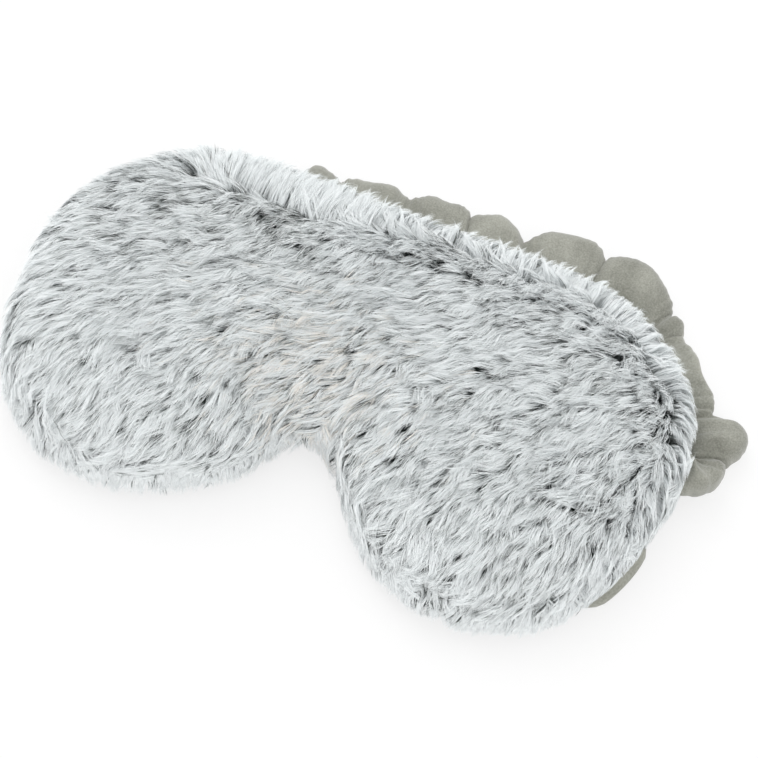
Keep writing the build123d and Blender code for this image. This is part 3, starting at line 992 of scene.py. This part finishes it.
def woven_material(name, dark, light):
    """Plain weave: warp and weft in a fine checked relief."""
    material, tree, shader = new_material(name, roughness=0.9, specular=0.15)
    scale = math.pi / (WAVE_FACTOR * THREAD_PITCH)
    warp, weft = [
        texture(tree, "ShaderNodeTexWave", Scale=scale, Distortion=0.4, bands_direction=way)
        for way in ("X", "Y")
    ]
    cross = calc(tree, "MULTIPLY", warp.outputs["Fac"], weft.outputs["Fac"])
    colour = ramp(tree, cross, [(0.1, dark), (0.7, light)])
    tree.links.new(colour.outputs["Color"], shader.inputs["Base Color"])
    relief(tree, shader, cross, strength=0.5, distance=0.0002)
    return material


def grain_material():
    """Loose grain, about 3 mm a kernel, with painted shade between the kernels and flecks of dried
    lavender.
    """
    material, tree, shader = new_material("grain_filling", roughness=0.7, specular=0.3)
    kernels = texture(tree, "ShaderNodeTexVoronoi", Scale=KERNELS_PER_METRE)
    # Painted shade: each kernel darkens towards the gaps between the kernels.
    body = ramp(tree, kernels.outputs["Distance"], [(0.1, HUSK), (0.7, SHADE_BETWEEN_HUSKS)])
    split = node(tree, "ShaderNodeSeparateColor")
    tree.links.new(kernels.outputs["Color"], split.inputs["Color"])
    is_lavender = calc(tree, "GREATER_THAN", split.outputs["Red"], 1 - LAVENDER_SHARE)
    mixed = node(tree, "ShaderNodeMix", data_type="RGBA")
    mixed.inputs["B"].default_value = (*LAVENDER, 1)
    tree.links.new(is_lavender, mixed.inputs["Factor"])
    tree.links.new(body.outputs["Color"], mixed.inputs["A"])
    tree.links.new(mixed.outputs["Result"], shader.inputs["Base Color"])
    relief(tree, shader, kernels.outputs["Distance"], strength=0.8, distance=0.001, invert=True)
    return material


def dress_inner_pieces(thread):
    """Procedural materials for the CAD pieces that stay."""
    cotton = woven_material("cotton_liner", COTTON_DARK, COTTON_LIGHT)
    grain = grain_material()
    looks = {
        cotton: ("liner_front", "liner_back"),
        grain: ("filling_left", "filling_right"),
        thread: (
            "cover_seam_thread", "turning_gap_stitches", "liner_seam_thread",
            "divider_stitches", "bar_tack_left", "bar_tack_right",
        ),
    }
    for material, names in looks.items():
        for name in names:
            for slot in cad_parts[name].material_slots:
                slot.material = material


# ---- camera, light and floor ----
PHOTO_AZIMUTH, PHOTO_ELEVATION, PHOTO_ROLL = 18.1, 60.6, 4.94
PHOTO_LENS = 82.9           # mm
PHOTO_DISTANCE = 0.5816     # metres
PHOTO_AIM = (0.0119, -0.0178, 0.015)
LIGHT_AIM = (0, 0, 0.01)
FLOOR_HALF = 6.0            # metres
FLOOR_WHITE = 0.75          # share of plain white in the floor, for the camera only


def camera():
    """The photograph's viewing angle."""
    azimuth, elevation = math.radians(PHOTO_AZIMUTH), math.radians(PHOTO_ELEVATION)
    roll = Matrix.Rotation(math.radians(PHOTO_ROLL), 3, "Z").to_quaternion()
    forward = Vector((
        -math.sin(azimuth) * math.cos(elevation),
        math.cos(azimuth) * math.cos(elevation),
        -math.sin(elevation),
    ))
    data = bpy.data.cameras.new("camera")
    data.sensor_width = 36
    data.lens = PHOTO_LENS
    data.clip_start = 0.01
    data.clip_end = 20
    obj = bpy.data.objects.new("camera", data)
    bpy.context.collection.objects.link(obj)
    obj.rotation_mode = "QUATERNION"
    obj.rotation_quaternion = forward.to_track_quat("-Z", "Y") @ roll
    obj.location = Vector(PHOTO_AIM) - forward * PHOTO_DISTANCE
    bpy.context.scene.camera = obj


def area_light(name, place, size, watts):
    """Round soft light that faces the mask."""
    data = bpy.data.lights.new(name, "AREA")
    data.shape = "DISK"
    data.size = size
    data.energy = watts
    obj = bpy.data.objects.new(name, data)
    bpy.context.collection.objects.link(obj)
    obj.location = place
    obj.rotation_mode = "QUATERNION"
    obj.rotation_quaternion = (Vector(LIGHT_AIM) - Vector(place)).to_track_quat("-Z", "Y")


def lights():
    """Soft key and fill under a plain white world."""
    area_light("key", place=(-0.7, 0.6, 1.3), size=1.1, watts=6.5)
    area_light("fill", place=(0.9, -0.9, 1.1), size=1.2, watts=3.0)
    world = bpy.data.worlds.new("studio")
    bpy.context.scene.world = world
    world.use_nodes = True
    background = world.node_tree.nodes["Background"]
    background.inputs["Color"].default_value = (1, 1, 1, 1)
    background.inputs["Strength"].default_value = 1.0


def floor():
    """Pale floor that keeps the shadow and is nearly white where the camera sees it."""
    mesh = bpy.data.meshes.new("floor")
    corners = [(-1, -1, 0), (1, -1, 0), (1, 1, 0), (-1, 1, 0)]
    mesh.from_pydata([Vector(c) * FLOOR_HALF for c in corners], [], [(0, 1, 2, 3)])
    obj = bpy.data.objects.new("floor", mesh)
    bpy.context.collection.objects.link(obj)
    material, tree, shader = new_material("floor", roughness=1.0, specular=0.0)
    shader.inputs["Base Color"].default_value = (0.9, 0.9, 0.9, 1)
    glow = node(tree, "ShaderNodeEmission", Strength=1.0)
    path = tree.nodes.new("ShaderNodeLightPath")
    mix = tree.nodes.new("ShaderNodeMixShader")
    share = calc(tree, "MULTIPLY", path.outputs["Is Camera Ray"], FLOOR_WHITE)
    tree.links.new(share, mix.inputs["Fac"])
    tree.links.new(shader.outputs["BSDF"], mix.inputs[1])
    tree.links.new(glow.outputs["Emission"], mix.inputs[2])
    tree.links.new(mix.outputs["Shader"], tree.nodes["Material Output"].inputs["Surface"])
    mesh.materials.append(material)


bpy.context.scene.view_settings.view_transform = "Standard"
camera()
lights()
floor()
front_ground()
back_plush()
pile()
thread = thread_material()
band(thread)
dress_inner_pieces(thread)
